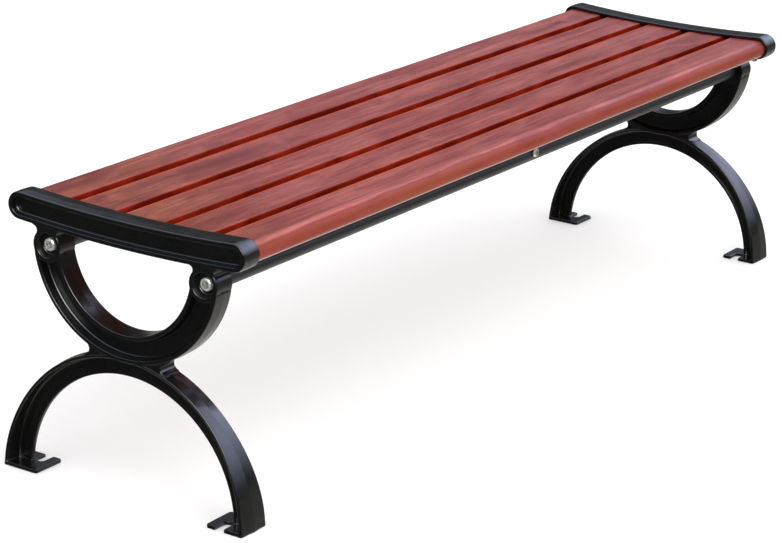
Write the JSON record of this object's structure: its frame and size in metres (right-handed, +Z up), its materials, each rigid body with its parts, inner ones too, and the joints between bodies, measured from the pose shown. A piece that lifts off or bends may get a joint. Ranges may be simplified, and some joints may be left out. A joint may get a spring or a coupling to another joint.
{
  "type": "backless bench",
  "caption": "Backless park bench with timber slats held between arched cast end frames and steel rails bolted under the seat.",
  "frame": {"origin": "Middle of the bench's box in plan, at floor level", "axes": "+X along the bench, -Y the front, +Z up; end_frame_left stands at -X"},
  "size_m": [1.52, 0.4178, 0.3988],
  "materials": {
    "cast_paint": "gloss",
    "timber": "satin",
    "rail_paint": "satin",
    "zinc": "satin"
  },
  "bodies": {
    "root": {"end_frame_left": "cast_paint", "end_frame_right": "cast_paint", "slat_1": "timber", "slat_2": "timber", "slat_3": "timber", "slat_4": "timber", "slat_5": "timber", "rail_front": "rail_paint", "rail_plug_front_left": "zinc", "frame_bolt_front_left": "zinc", "rail_plug_front_right": "zinc", "frame_bolt_front_right": "zinc", "rail_rear": "rail_paint", "rail_plug_rear_left": "zinc", "frame_bolt_rear_left": "zinc", "rail_plug_rear_right": "zinc", "frame_bolt_rear_right": "zinc", "cross_strap": "rail_paint", "strap_bolt_front": "zinc", "strap_bolt_rear": "zinc", "slat_screw_left_1": "zinc", "slat_screw_left_2": "zinc", "slat_screw_left_3": "zinc", "slat_screw_left_4": "zinc", "slat_screw_left_5": "zinc", "slat_screw_right_1": "zinc", "slat_screw_right_2": "zinc", "slat_screw_right_3": "zinc", "slat_screw_right_4": "zinc", "slat_screw_right_5": "zinc", "strap_screw_2": "zinc", "strap_screw_3": "zinc", "strap_screw_4": "zinc"}
  },
  "joints": []
}
